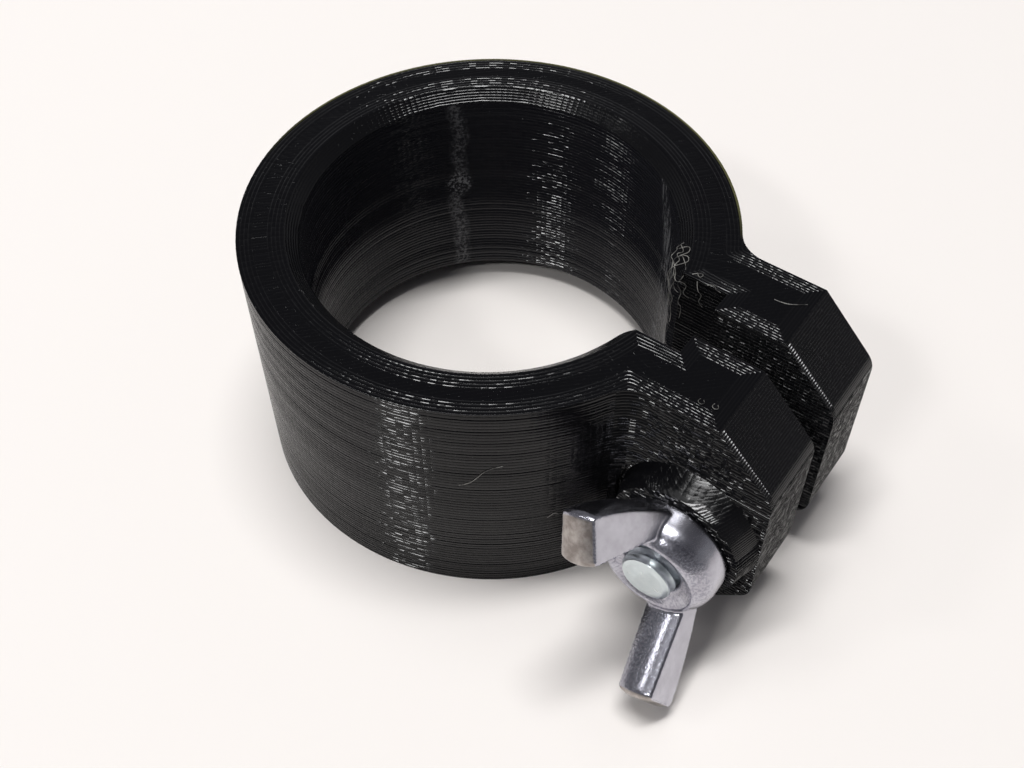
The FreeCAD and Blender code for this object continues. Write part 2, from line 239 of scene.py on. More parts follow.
world = bpy.context.scene.world or bpy.data.worlds.new("room")
bpy.context.scene.world = world
world.use_nodes = True
add = functools.partial(add_node, world.node_tree)
height = add("SeparateXYZ", add("TexCoord", out="Generated"), out="Z")
ramp = add("ValToRGB", height).node.color_ramp
ramp.elements[0].position = 0.0
ramp.elements[0].color = (0.30, 0.30, 0.31, 1)
ramp.elements[1].position = 0.7
ramp.elements[1].color = (0.07, 0.07, 0.08, 1)
middle_tone = ramp.elements.new(0.35)
middle_tone.color = (0.20, 0.20, 0.21, 1)
world.node_tree.links.new(world.node_tree.nodes["Color Ramp"].outputs[0],
                          world.node_tree.nodes["Background"].inputs["Color"])

# %% [markdown]
# The clamp itself came off a filament printer. The print is a copy of the CAD node: the loose
# triangles are merged and the flat faces are joined to one face each. A real print has no knife
# edges, because the bead of plastic rounds every corner a little, and a bevel is there for that.
# It hardly acts: the limit against overlaps holds the whole bevel to 0.005 mm instead of the
# 0.18 mm asked for, most likely for some very short edge. The print's edges stay all but sharp.

# %% Printed body
EDGE_ROUNDING = 0.18 * MM
MERGE_WITHIN = 0.002 * MM
FLAT_WITHIN = 0.05
BEVEL_FROM = 28
SMOOTH_BELOW = 30


def alone(piece):
    """Makes a piece the active one and the only one selected."""
    bpy.ops.object.select_all(action="DESELECT")
    bpy.context.view_layer.objects.active = piece
    piece.select_set(True)


def copy_node(node, name):
    """A merged copy of a CAD node, to be changed as a piece of its own."""
    piece = frame["nodes"][node].copy()
    piece.data = frame["nodes"][node].data.copy()
    piece.parent = None
    piece.name = name
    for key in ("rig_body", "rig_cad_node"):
        del piece[key]
    bpy.context.collection.objects.link(piece)
    alone(piece)
    bpy.ops.object.mode_set(mode="EDIT")
    bpy.ops.mesh.select_all(action="SELECT")
    bpy.ops.mesh.remove_doubles(threshold=MERGE_WITHIN)
    bpy.ops.mesh.dissolve_limited(angle_limit=math.radians(FLAT_WITHIN))
    bpy.ops.object.mode_set(mode="OBJECT")
    return piece


def count_faces(piece):
    return sum(len(face.vertices) - 2 for face in piece.data.polygons)


body = copy_node("clamp_body", "printed_body")
rounding = body.modifiers.new("rounding", "BEVEL")
rounding.width = EDGE_ROUNDING
rounding.segments = 2
rounding.limit_method = "ANGLE"
rounding.angle_limit = math.radians(BEVEL_FROM)
rounding.use_clamp_overlap = True
bpy.ops.object.modifier_apply(modifier=rounding.name)
bpy.ops.object.shade_smooth_by_angle(angle=math.radians(SMOOTH_BELOW))
flatness = body.modifiers.new("flat_faces", "WEIGHTED_NORMAL")
flatness.keep_sharp = True
bpy.ops.object.modifier_apply(modifier=flatness.name)
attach(body, "clamp")
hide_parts("clamp_body")
print("printed body:", count_faces(body), "triangles")

# %% [markdown]
# Black PLA, extruded in level layers. The plastic itself is a glossy, nearly black dielectric
# with an index of 1.46. What the eye sees is the way it was laid down: walls are stacked
# layers, rounded at the edge, and level faces are beads that follow the outline, with short
# strokes between them. Each bead mirrors the lamps in thin bright dashes. The pattern is worked
# out from the place on the clamp in millimetres and goes into one bump, whose height is in
# millimetres too.
#
# The layers are 0.2 mm high, and the slopes are drawn with just that. Upright walls are drawn
# coarser, in rows of 0.4 mm, because one of 0.2 mm is about one and a half pixels high in the
# picture. The beads are drawn about as wide as they look in the photo: 0.37 mm on the ring, and
# 0.29 mm on the lugs, where the photo shows them a little narrower still.

# %% Black print: the place on the clamp
RING_R = 23.0
BORE_R = 17.5
TOP_CHAMFER = 1.2
HALF_HEIGHT = 12.9
LUG_HALF_WIDTH = 9.4
LUG_FLAT_END = 29.4
LUG_GAP = 1.8
SLOT_HALF = 4.0
PAD_START = 22.6
LAYER = 0.2
WALL_ROW = 0.4
BEAD = 0.37
LUG_BEAD = 0.29
OUTLINE_BEADS = 4
OUTLINE_BLEND = 0.8
DIAGONAL = 0.7071
FACETS = 200
STRAIGHT_CELL = 0.47
LEVEL_WITHIN = 0.1
UPRIGHT_BELOW = 0.3
BORE_WALL = 1.0

black, shader, add = new_material("black_pla_print")
spot = place_in_mm(add)
x, y, z = add("SeparateXYZ", spot).node.outputs
radius = add("VectorMath", add("CombineXYZ", x, y, 0.0), operation="LENGTH", out="Value")
angle = add("Math", y, x, operation="ARCTAN2")
beside = add("Math", y, operation="ABSOLUTE")
upward = add("SeparateXYZ", add("TexCoord", out="Normal"), out="Z")
from_middle = add("Math", z, operation="ABSOLUTE")
level = add("Math", from_middle, HALF_HEIGHT - LEVEL_WITHIN, operation="GREATER_THAN")
upright = add("Math", add("Math", upward, operation="ABSOLUTE"), UPRIGHT_BELOW, operation="LESS_THAN")
on_ring = add("Math", radius, RING_R + 0.1, operation="LESS_THAN")
in_bore = add("Math", radius, BORE_R + BORE_WALL, operation="LESS_THAN")

# %% Black print: facets along the way of the nozzle
facet = add("Math", angle, FACETS / (2 * math.pi), operation="MULTIPLY")
sideways = add("SeparateXYZ", add("TexCoord", out="Normal"), out="X")
end_face = add("Math", add("Math", sideways, operation="ABSOLUTE"), 0.5, operation="GREATER_THAN")
straight = add("Mix", inputs={0: end_face, 2: x, 3: y})
straight = add("Math", straight, 1 / STRAIGHT_CELL, operation="MULTIPLY")
along = add("Mix", inputs={0: on_ring, 2: straight, 3: facet})
facet_number = add("Math", along, operation="FLOOR")
facet_part = add("Math", add("Math", along, operation="FRACT"), 0.5, operation="SUBTRACT")

# %% Black print: layers on the walls
pitch = add("Mix", inputs={0: upright, 2: 1 / LAYER, 3: 1 / WALL_ROW})
layer = add("Math", add("Math", z, HALF_HEIGHT, operation="ADD"), pitch, operation="MULTIPLY")
layer_number = add("Math", layer, operation="FLOOR")
layer_part = add("Math", layer, operation="FRACT")

# %% Black print: beads on the level faces
# The slot is on the +X side only. Behind the axis its distance is made too large to count.
FAR_OFF = 100.0

from_outside = add("Math", RING_R, radius, operation="SUBTRACT")
lug_side = add("Math", LUG_HALF_WIDTH, beside, operation="SUBTRACT")
lug_end = add("Math", LUG_FLAT_END, x, operation="SUBTRACT")
lug_start = add("Math", x, BORE_R, operation="SUBTRACT")
in_lug = add("Math", lug_side, lug_end, operation="MINIMUM")
in_lug = add("Math", in_lug, lug_start, operation="MINIMUM")
in_outline = add("Math", from_outside, in_lug, OUTLINE_BLEND, operation="SMOOTH_MAX")
from_bore = add("Math", radius, BORE_R + TOP_CHAMFER, operation="SUBTRACT")
from_gap = add("Math", add("Math", beside, LUG_GAP, operation="SUBTRACT"),
               add("Math", x, PAD_START, operation="SUBTRACT"), operation="MINIMUM")
from_slot = add("Math", beside, SLOT_HALF, operation="SUBTRACT")
from_slot = add("Math", from_slot, from_gap, operation="MAXIMUM")
behind = add("Math", x, 0.0, operation="LESS_THAN")
from_slot = add("Math", behind, FAR_OFF, from_slot, operation="MULTIPLY_ADD")
inset = add("Math", in_outline, from_bore, operation="MINIMUM")
inset = add("Math", inset, from_slot, operation="MINIMUM")
inner = add("Math", inset, OUTLINE_BEADS * BEAD, operation="GREATER_THAN")
beads_a_mm = add("MapRange", x, BORE_R, PAD_START, 1 / BEAD, 1 / LUG_BEAD,
                 interpolation_type="SMOOTHSTEP")
strokes = add("Math", add("Math", x, y, operation="SUBTRACT"), DIAGONAL / BEAD, operation="MULTIPLY")
ordered = add("Math", inset, beads_a_mm, operation="MULTIPLY")
bead = add("Mix", inputs={0: inner, 2: ordered, 3: strokes})
bead_number = add("Math", bead, operation="FLOOR")
bead_part = add("Math", bead, operation="FRACT")

# %% Black print: a few chances for every cell and every row
row = add("Mix", inputs={0: level, 2: layer_number, 3: bead_number})
cell = add("CombineXYZ", facet_number, row, 0.0)
chance = add("TexWhiteNoise", cell, noise_dimensions="2D", out="Color")
tip, steep, lift = add("SeparateXYZ", chance).node.outputs
row_chance = add("TexWhiteNoise", inputs={"W": row}, noise_dimensions="1D", out="Color")
row_chance, row_kind, row_spare = add("SeparateXYZ", row_chance).node.outputs

# %% [markdown]
# A level layer that ends at the side of a lug's slope rounds off there. Its end drops away over
# the last half millimetre and catches the light, so the slope's edge looks like a ladder.

# %% Black print: the rounded ends of the layers, along the edges of the lugs' slopes
END_WIDTH = 0.55
END_DROP = 0.25
END_CURVE = 0.2
EDGE_SPARE = 0.02

far_lug = add("Math", y, 0.0, operation="GREATER_THAN")
lug_edge = add("Mix", inputs={0: far_lug, 2: LUG_HALF_WIDTH, 3: -LUG_GAP})
before_edge = add("Math", END_WIDTH, add("Math", y, lug_edge, operation="ADD"), operation="SUBTRACT")
sloping = add("Math", 1.0, upright, operation="SUBTRACT")
sloping = add("Math", sloping, level, operation="SUBTRACT")
sloping = add("Math", sloping, on_ring, operation="SUBTRACT")
sloping = add("Math", sloping, 0.5, operation="GREATER_THAN")
near_edge = add("Math", before_edge, END_WIDTH / 2, END_WIDTH / 2 + EDGE_SPARE, operation="COMPARE")
layer_end = add("Math", near_edge, sloping, operation="MULTIPLY")
end_drop = add("Math", before_edge, END_CURVE, END_DROP, operation="MULTIPLY_ADD")
end_drop = add("Math", end_drop, before_edge, operation="MULTIPLY")
end_drop = add("Math", end_drop, layer_end, operation="MULTIPLY")

# %% Black print: which rows are broken into dashes
WHOLE_ROWS = 0.12
WHOLE_TOP_ROWS = 0.5

broken = add("Math", add("Math", upright, level, operation="ADD"), 0.5, operation="GREATER_THAN")
on_top = add("Math", level, on_ring, operation="MULTIPLY")
whole_share = add("Mix", inputs={0: on_top, 2: WHOLE_ROWS, 3: WHOLE_TOP_ROWS})
broken_row = add("Math", row_kind, whole_share, operation="GREATER_THAN")
broken = add("Math", broken, broken_row, operation="MULTIPLY")

# %% Black print: the rounded edge of a layer or bead, in millimetres
# A share is the part of a row or bead that its rounded side takes up; a slope is how steep that
# side is, as height over width.
BEAD_SIDE_SHARE = 0.20
LEAST_SIDE_SHARE = 0.17
SIDE_SHARE_MORE = 0.35
SLOPE_SIDE_SHARE = 0.36
OUTER_SLOPE = 0.41
BORE_SLOPE = 0.28
LUG_WALL_SLOPE = 0.21
TREAD_SLOPE = 0.09
LAYER_END_SLOPE = 0.12
STROKE_HEIGHT = 0.006
WALL_SPREAD = 0.34
LEVEL_SPREAD = 0.4

side_share = add("Math", row_chance, 3.0, operation="POWER")
side_share = add("Math", side_share, SIDE_SHARE_MORE, LEAST_SIDE_SHARE, operation="MULTIPLY_ADD")
side_share = add("Mix", inputs={0: upright, 2: SLOPE_SIDE_SHARE, 3: side_share})
before_top = add("Math", 1.0, layer_part, operation="SUBTRACT")
layer_edge = add("Math", before_top, side_share, operation="DIVIDE")
layer_edge = add("Math", layer_edge, 1.0, operation="MINIMUM")
after_groove = add("Math", 1.0, bead_part, operation="SUBTRACT")
before_groove = add("Math", bead_part, after_groove, operation="MINIMUM")
bead_edge = add("Math", before_groove, 1 / BEAD_SIDE_SHARE, operation="MULTIPLY")
bead_edge = add("Math", bead_edge, 1.0, operation="MINIMUM")
lug_wall = add("Math", upright, on_ring, operation="GREATER_THAN")
ring_slope = add("Mix", inputs={0: in_bore, 2: OUTER_SLOPE, 3: BORE_SLOPE})
wall_slope = add("Mix", inputs={0: lug_wall, 2: ring_slope, 3: LUG_WALL_SLOPE})
tread_slope = add("Math", layer_end, LAYER_END_SLOPE, TREAD_SLOPE, operation="MULTIPLY_ADD")
wall_slope = add("Mix", inputs={0: upright, 2: tread_slope, 3: wall_slope})
wall_height = add("Math", wall_slope, side_share, operation="MULTIPLY")
ordered_height = add("Math", OUTER_SLOPE * BEAD_SIDE_SHARE, beads_a_mm, operation="DIVIDE")
bead_height = add("Mix", inputs={0: inner, 2: ordered_height, 3: STROKE_HEIGHT})
edge = add("Mix", inputs={0: level, 2: layer_edge, 3: bead_edge})
edge_height = add("Mix", inputs={0: level, 2: wall_height, 3: bead_height})
spread = add("Math", steep, 0.5, operation="SUBTRACT")
height_spread = add("Mix", inputs={0: upright, 2: LEVEL_SPREAD, 3: WALL_SPREAD})
spread = add("Math", spread, height_spread, operation="MULTIPLY")
spread = add("Math", spread, broken, operation="MULTIPLY")
edge_height = add("Math", edge_height, add("Math", spread, 1.0, operation="ADD"), operation="MULTIPLY")

# %% Black print: each cell is tipped, rounded and lifted a little, in millimetres
SHAKE = 0.06
LUG_WALL_SHAKE = 0.36
CELL_ROUNDING = -0.03
CELL_LIFT = 0.006
ROW_LIFT = 0.02

shake = add("Mix", inputs={0: lug_wall, 2: SHAKE, 3: LUG_WALL_SHAKE})
tip = add("Math", add("Math", tip, 0.5, operation="SUBTRACT"), shake, operation="MULTIPLY")
tip = add("Math", tip, broken, operation="MULTIPLY")
rounded = add("Math", facet_part, CELL_ROUNDING, operation="MULTIPLY")
rounded = add("Math", facet_part, rounded, operation="MULTIPLY")
rounded = add("Math", rounded, add("Math", broken, on_ring, operation="MAXIMUM"), operation="MULTIPLY")
surface = add("Math", tip, facet_part, rounded, operation="MULTIPLY_ADD")
surface = add("Math", edge, edge_height, surface, operation="MULTIPLY_ADD")
surface = add("Math", lift, CELL_LIFT, surface, operation="MULTIPLY_ADD")
surface = add("Math", row_chance, ROW_LIFT, surface, operation="MULTIPLY_ADD")

# %% Black print: the bulge of a layer on the ring, on the lugs' walls and on shallow slopes
# A bulge rounds the row to both sides, and a lean tilts it, which turns it from the pale floor
LUG_BULGE = -0.13
OUTER_BULGE = -0.07
BORE_BULGE = -0.055
LUG_LEAN = -0.24
OUTER_LEAN = -0.08
BORE_LEAN = -0.135
OUTER_LEAN_SPREAD = 0.045
BORE_LEAN_SPREAD = 0.07
SHALLOW_ABOVE = 0.78

middle = add("Math", layer_part, 0.5, operation="SUBTRACT")
ring_bulge = add("Mix", inputs={0: in_bore, 2: OUTER_BULGE, 3: BORE_BULGE})
bulge = add("Mix", inputs={0: on_ring, 2: LUG_BULGE, 3: ring_bulge})
bulge = add("Math", add("Math", middle, middle, operation="MULTIPLY"), bulge, operation="MULTIPLY")
lean = add("Mix", inputs={0: in_bore, 2: OUTER_LEAN, 3: BORE_LEAN})
lean = add("Mix", inputs={0: on_ring, 2: LUG_LEAN, 3: lean})
lean_spread = add("Mix", inputs={0: in_bore, 2: OUTER_LEAN_SPREAD, 3: BORE_LEAN_SPREAD})
row_spare = add("Math", row_spare, 0.5, operation="SUBTRACT")
lean = add("Math", row_spare, lean_spread, lean, operation="MULTIPLY_ADD")
wall = add("Math", layer_part, lean, bulge, operation="MULTIPLY_ADD")
surface = add("Math", wall, upright, surface, operation="MULTIPLY_ADD")
chamfer = add("Math", add("Math", on_ring, upright, operation="SUBTRACT"), level, operation="SUBTRACT")
chamfer = add("Math", chamfer, 0.5, operation="GREATER_THAN")
surface = add("Math", bulge, chamfer, surface, operation="MULTIPLY_ADD")
shallow = add("Math", upward, SHALLOW_ABOVE, operation="GREATER_THAN")
shallow = add("Math", shallow, level, operation="SUBTRACT")
shallow = add("Math", shallow, 0.5, operation="GREATER_THAN")
tread = add("Math", layer_part, add("Math", layer_part, 0.5, operation="MULTIPLY"), operation="MULTIPLY")
tread = add("Math", add("Math", tread, layer_part, operation="SUBTRACT"), LAYER, operation="MULTIPLY")
surface = add("Math", tread, shallow, surface, operation="MULTIPLY_ADD")
surface = add("Math", surface, end_drop, operation="SUBTRACT")
bump = add("Bump", inputs={"Height": surface, "Distance": MM, "Strength": 1.0})
link(bump, shader, "Normal")

# %% [markdown]
# Two marks and one painted glint interrupt the black. Where each layer starts and ends there is a seam,
# here a pale rough stripe down the back of the bore, with a knot in it. Beside the slot the bore is
# rubbed grey, in a patch that widens downwards. And the top's outer rim is painted olive: a
# painted coloured glint along the edge, which fades towards the lugs.

# %% Black print: the seam, the rubbed patch and the painted glint on the rim
SEAM_AT = 137.3
SEAM_HALF = 0.7
SEAM_SOFT = 0.35
KNOT_AT = (-12.9, 11.9, 1.3)
RIM_WIDTH = 0.22
RIM_DEPTH = 0.24

flecks = add("TexNoise", inputs={"Vector": spot, "Scale": 1 / 0.35, "Detail": 3.0, "Roughness": 0.7})
tall = add("VectorMath", spot, (1.0, 1.0, 0.16), operation="MULTIPLY")
fibres = add("TexNoise", inputs={"Vector": tall, "Scale": 1 / 0.5, "Detail": 4.0, "Roughness": 0.7})
wander = add("TexNoise", inputs={"W": z, "Scale": 1 / 5.0, "Detail": 3.0}, noise_dimensions="1D")
wander = add("Math", add("Math", wander, 0.5, operation="SUBTRACT"), 3.0, operation="MULTIPLY")
degrees = add("Math", angle, 180 / math.pi, operation="MULTIPLY")
from_seam = add("Math", degrees, SEAM_AT, operation="SUBTRACT")
from_seam = add("Math", from_seam, math.radians(BORE_R), wander, operation="MULTIPLY_ADD")
from_seam = add("Math", from_seam, operation="ABSOLUTE")
seam = add("MapRange", from_seam, SEAM_HALF + SEAM_SOFT, SEAM_HALF - SEAM_SOFT, 0.0, 1.0)
low_seam = add("MapRange", z, 3.0, -9.0, 0.55, 0.9)
seam = add("Math", seam, add("MapRange", flecks, 0.42, 0.68, 0.05, 1.0), operation="MULTIPLY")
seam = add("Math", seam, low_seam, operation="MULTIPLY")
knot = add("VectorMath", spot, KNOT_AT, operation="DISTANCE", out="Value")
knot = add("MapRange", knot, 1.6, 0.2, 0.0, 1.8)
knot = add("Math", knot, add("MapRange", flecks, 0.5, 0.62, 0.0, 1.0), operation="MULTIPLY")
seam = add("Math", seam, knot, operation="ADD")
rub_at = add("MapRange", z, 12.0, 3.5, 55.0, 41.0)
rub_half = add("MapRange", z, 12.5, 1.0, 1.5, 10.0)
rub = add("Math", add("Math", degrees, rub_at, operation="SUBTRACT"), operation="ABSOLUTE")
rub = add("MapRange", add("Math", rub, rub_half, operation="DIVIDE"), 1.15, 0.6, 0.0, 1.0)
rub = add("Math", rub, add("MapRange", fibres, 0.46, 0.64, 0.0, 0.75), operation="MULTIPLY")
rub = add("Math", rub, add("MapRange", flecks, 0.35, 0.6, 0.3, 1.0), operation="MULTIPLY")
marks = add("Math", add("Math", seam, rub, operation="MAXIMUM"), in_bore, operation="MULTIPLY")
marks = add("Math", marks, upright, operation="MULTIPLY")
# The rim's olive is a painted glint along the edge, not a colour of the plastic
rim_high = add("Math", z, HALF_HEIGHT - RIM_DEPTH, operation="GREATER_THAN")
rim_out = add("Math", radius, RING_R - RIM_WIDTH, operation="GREATER_THAN")
rim = add("Math", rim_high, rim_out, operation="MULTIPLY")
rim = add("Math", rim, add("MapRange", y, -6.0, 4.0, 0.0, 1.0), operation="MULTIPLY")
beside_lug = add("Math", beside, add("Math", x, 0.0, operation="GREATER_THAN"), operation="MULTIPLY")
beside_lug = add("Math", add("MapRange", x, 0.0, 1.0, 20.0, 0.0), beside_lug, operation="ADD")
rim = add("Math", rim, add("MapRange", beside_lug, 10.5, 14.0, 0.0, 1.0), operation="MULTIPLY")

# %% Black print: colour and gloss
PLASTIC = colour("#0b0b0d")
PAINTED_BORE_LIGHT = colour("#1a1a1e")
RUBBED = colour("#78787a")
PAINTED_OLIVE_GLINT = colour("#4f4e33")
GLOSSY = 0.12
SCUFFED = 0.5

# Painted light: the bore's upright wall is painted lighter and a little bluer than the rest, though the
# plastic is the same all through.
bore_wall = add("Math", in_bore, upright, operation="MULTIPLY")
plastic_and_bore_light = blend(add, bore_wall, PLASTIC, PAINTED_BORE_LIGHT)
pale = blend(add, marks, plastic_and_bore_light, RUBBED)
rim_glint_painted = blend(add, rim, pale, PAINTED_OLIVE_GLINT)
link(rim_glint_painted, shader, "Base Color")
link(add("MapRange", marks, 0.0, 0.6, GLOSSY, SCUFFED), shader, "Roughness")
shader.inputs["IOR"].default_value = 1.46
shader.inputs["Specular IOR Level"].default_value = 0.33
dress(body, black)

# %% [markdown]
# When the nozzle travels between two walls it drags a hair of plastic with it. A few such
# strings are left on this print: a tangle where the bore meets the slot, a hair on the outer
# wall and small loops on the lugs. Each one is a smooth curve with a thin round bevel, made a
# mesh and joined to the others. Stretched so thin, the plastic turns pale.

# %% Loose strings
# Points and the radius are in millimetres
STRING_R = 0.032
STRINGS = [
    [(15.9, 7.4, 12.3), (16.2, 6.9, 12.9), (16.9, 6.4, 12.7), (16.4, 5.6, 13.0), (17.2, 5.2, 12.9),
     (17.0, 4.4, 13.0), (17.3, 3.9, 12.2), (16.9, 3.7, 11.2), (17.1, 3.8, 10.4)],
    [(16.2, 6.6, 12.6), (16.9, 7.2, 13.0), (17.4, 6.5, 13.0), (17.0, 5.6, 13.1), (16.5, 5.0, 12.8),
     (17.1, 4.3, 12.9), (17.6, 3.8, 12.3), (17.5, 3.5, 11.0), (18.0, 3.85, 10.4)],
    [(16.6, 5.5, 12.7), (17.3, 6.0, 13.1), (17.9, 5.6, 12.9), (17.6, 4.7, 13.1), (16.9, 4.2, 12.8),
     (16.6, 3.9, 11.9), (17.2, 3.6, 11.0), (17.0, 3.9, 9.9), (17.3, 3.5, 9.0), (17.1, 3.9, 8.2)],
    [(16.1, 7.7, 12.4), (15.7, 7.0, 12.2), (16.3, 6.2, 12.9), (15.9, 5.6, 12.3), (16.6, 4.9, 12.9),
     (16.9, 4.2, 12.5), (16.7, 4.2, 11.4), (17.1, 3.8, 10.9), (16.9, 4.1, 9.7), (17.2, 3.9, 8.6)],
    [(16.9, 5.9, 12.8), (17.6, 5.2, 13.0), (18.1, 4.6, 12.9), (18.3, 3.9, 12.6), (17.8, 3.6, 11.6),
     (18.4, 3.8, 10.8), (18.2, 3.4, 9.6), (18.6, 3.9, 8.8), (18.4, 3.9, 7.2)],
    [(17.5, 3.9, 11.6), (17.2, 3.4, 10.6), (17.7, 3.6, 9.8), (17.4, 3.8, 8.4), (17.8, 3.5, 7.3),
     (17.5, 3.9, 6.1)],
    [(19.6, 4.0, 12.7), (19.9, 3.5, 12.1), (20.4, 3.8, 11.5), (20.1, 3.5, 10.8), (20.5, 3.9, 10.0)],
    [(17.2, 4.0, 12.6), (17.7, 3.4, 12.0), (18.3, 3.5, 12.3), (18.8, 3.9, 11.7), (18.5, 3.4, 10.9),
     (19.1, 3.9, 10.3)],
    [(18.9, 4.3, 12.9), (19.4, 4.8, 13.0), (19.9, 4.6, 13.1), (19.6, 4.2, 12.9), (19.2, 4.7, 12.9)],
    [(20.6, 3.9, 12.9), (21.2, 4.3, 13.0), (21.5, 3.8, 12.9), (22.0, 3.9, 12.8)],
    [(11.2, -20.1, 2.9), (11.9, -19.75, 3.2), (12.55, -19.35, 4.1), (13.3, -18.85, 5.5),
     (14.4, -18.0, 5.9)],
    [(17.2, -15.25, -3.0), (17.5, -15.0, -2.6), (17.7, -14.8, -2.3), (17.9, -14.5, -2.7)],
    [(26.5, -7.3, 12.9), (26.4, -7.7, 13.0), (26.8, -7.9, 13.0), (27.1, -7.6, 13.0), (26.8, -7.3, 12.9)],
    [(27.7, -7.1, 12.9), (27.6, -7.5, 13.0), (28.0, -7.7, 13.0), (28.3, -7.4, 13.0), (28.0, -7.1, 12.9)],
    [(26.2, 5.8, 12.9), (27.2, 5.8, 12.95), (28.1, 6.3, 12.95), (28.8, 6.9, 12.9)],
]


def add_string(path):
    """One hair of plastic along a few points in millimetres."""
    bpy.ops.object.select_all(action="DESELECT")
    bpy.ops.curve.primitive_nurbs_path_add(location=(0, 0, 0))
    string = bpy.context.object
    curve = string.data
    curve.splines.clear()
    line = curve.splines.new("NURBS")
    line.points.add(len(path) - 1)
    for point, place in zip(line.points, path):
        point.co = (*(Vector(place) * MM), 1)
    line.use_endpoint_u = True
    line.order_u = 3
    curve.dimensions = "3D"
    curve.resolution_u = 6
    curve.bevel_depth = STRING_R * MM
    curve.bevel_resolution = 1
    curve.use_fill_caps = True
    bpy.ops.object.convert(target="MESH")
    return bpy.context.object


strings = [add_string(path) for path in STRINGS]
for string in strings:
    string.select_set(True)
bpy.ops.object.join()
strings = bpy.context.object
strings.name = "print_strings"
bpy.ops.object.shade_smooth()
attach(strings, "clamp")
stretched, shader, add = new_material("stretched_pla_string")
spot = place_in_mm(add)
thinness = add("TexNoise", inputs={"Vector": spot, "Scale": 1 / 0.8, "Detail": 2.0})
tone = tone_ramp(add, thinness, (0.35, "#2c2b2a"), (0.62, "#908e89"))
link(tone, shader, "Base Color")
shader.inputs["Roughness"].default_value = 0.3
dress(strings, stretched)
print("strings:", len(STRINGS), "with", count_faces(strings), "triangles")

# %% [markdown]
# The bolt is a common M5 x 25 hexagon bolt. Its thread is a groove that climbs 0.8 mm a turn.
# One thread, seen in section, is a small trapezium, and Blender's Screw modifier sweeps it up
# the shank. The ends are cut flat, and the sharp run-out is taken off by a turned blank, as
# the blank's own chamfer does on the real bolt. The head comes from the CAD bolt.

# %% Threaded bolt
PITCH = 0.8 * MM
MAJOR_R = 2.5 * MM
MINOR_R = 2.02 * MM
END_FLAT_R = 1.95 * MM
bolt_low, bolt_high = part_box("bolt")
AXIS_X = (bolt_low.x + bolt_high.x) / 2
AXIS_Z = (bolt_low.z + bolt_high.z) / 2
HEAD_SEAT = bolt_high.y - 3.5 * MM
TURNS = round((HEAD_SEAT - bolt_low.y) / PITCH) + 3
CREST_SHARE = 0.2
STEPS_A_TURN = 32
RUN_OUT = 1.2 * PITCH
INTO_HEAD = 0.5 * MM
BLANK_INTO_HEAD = 0.6 * MM
HEAD_CUT = 0.01 * MM
HEAD_ROUNDING = 0.12 * MM


def select_in_edit(piece, wanted, domain="vertices"):
    """Selects the vertices, edges or faces of a piece for which a test holds, in edit mode."""
    bpy.ops.object.mode_set(mode="EDIT")
    bpy.ops.mesh.select_mode(type={"vertices": "VERT", "edges": "EDGE", "polygons": "FACE"}[domain])
    bpy.ops.mesh.select_all(action="DESELECT")
    bpy.ops.object.mode_set(mode="OBJECT")
    for part in getattr(piece.data, domain):
        part.select = wanted(part)
    bpy.ops.object.mode_set(mode="EDIT")


def cut_across(y, **keep):
    """Cuts a piece in edit mode at one place along the bolt, and caps the cut."""
    bpy.ops.mesh.select_all(action="SELECT")
    bpy.ops.mesh.bisect(plane_co=(0, y, 0), plane_no=(0, 1, 0), use_fill=True,
                        threshold=0.0001 * MM, **keep)


# The section: an upright plate, one pitch long, from the root of the thread to its crest
bpy.ops.object.select_all(action="DESELECT")
bpy.ops.mesh.primitive_plane_add(size=1, rotation=(math.pi / 2, 0, 0))
thread = bpy.context.object
thread.name = "threaded_bolt"
bpy.ops.object.transform_apply(location=False, rotation=True, scale=True)
select_in_edit(thread, lambda v: True)
bpy.ops.transform.resize(value=(MAJOR_R - MINOR_R, 1, PITCH))
bpy.ops.transform.translate(value=((MAJOR_R + MINOR_R) / 2, 0, 0))
select_in_edit(thread, lambda v: v.co.x > (MAJOR_R + MINOR_R) / 2)
bpy.ops.transform.resize(value=(1, 1, CREST_SHARE))
bpy.ops.mesh.select_all(action="SELECT")
bpy.ops.mesh.delete(type="ONLY_FACE")


def at_root(edge):
    return all(thread.data.vertices[i].co.x < MINOR_R * 1.01 for i in edge.vertices)


select_in_edit(thread, at_root, "edges")
bpy.ops.mesh.delete(type="EDGE")
bpy.ops.object.mode_set(mode="OBJECT")
climb = thread.modifiers.new("climb", "SCREW")
climb.axis = "Z"
climb.screw_offset = PITCH
climb.iterations = TURNS
climb.steps = climb.render_steps = STEPS_A_TURN
bpy.ops.object.modifier_apply(modifier=climb.name)
bpy.ops.object.mode_set(mode="EDIT")
bpy.ops.mesh.select_all(action="SELECT")
bpy.ops.transform.rotate(value=math.pi / 2, orient_axis="X", center_override=(0, 0, 0))
bpy.ops.object.mode_set(mode="OBJECT")
low = min(v.co.y for v in thread.data.vertices)
bpy.ops.object.mode_set(mode="EDIT")
bpy.ops.mesh.select_all(action="SELECT")
bpy.ops.mesh.remove_doubles(threshold=0.005 * MM)
bpy.ops.transform.translate(value=(AXIS_X, bolt_low.y - low - RUN_OUT, AXIS_Z))
cut_across(bolt_low.y, clear_inner=True)
cut_across(HEAD_SEAT + INTO_HEAD, clear_outer=True)
bpy.ops.mesh.select_all(action="SELECT")
bpy.ops.mesh.normals_make_consistent(inside=False)
bpy.ops.object.mode_set(mode="OBJECT")
places = [v.co.y / MM for v in thread.data.vertices]
print("thread:", count_faces(thread), "triangles, from", round(min(places), 2), "to", round(max(places), 2))

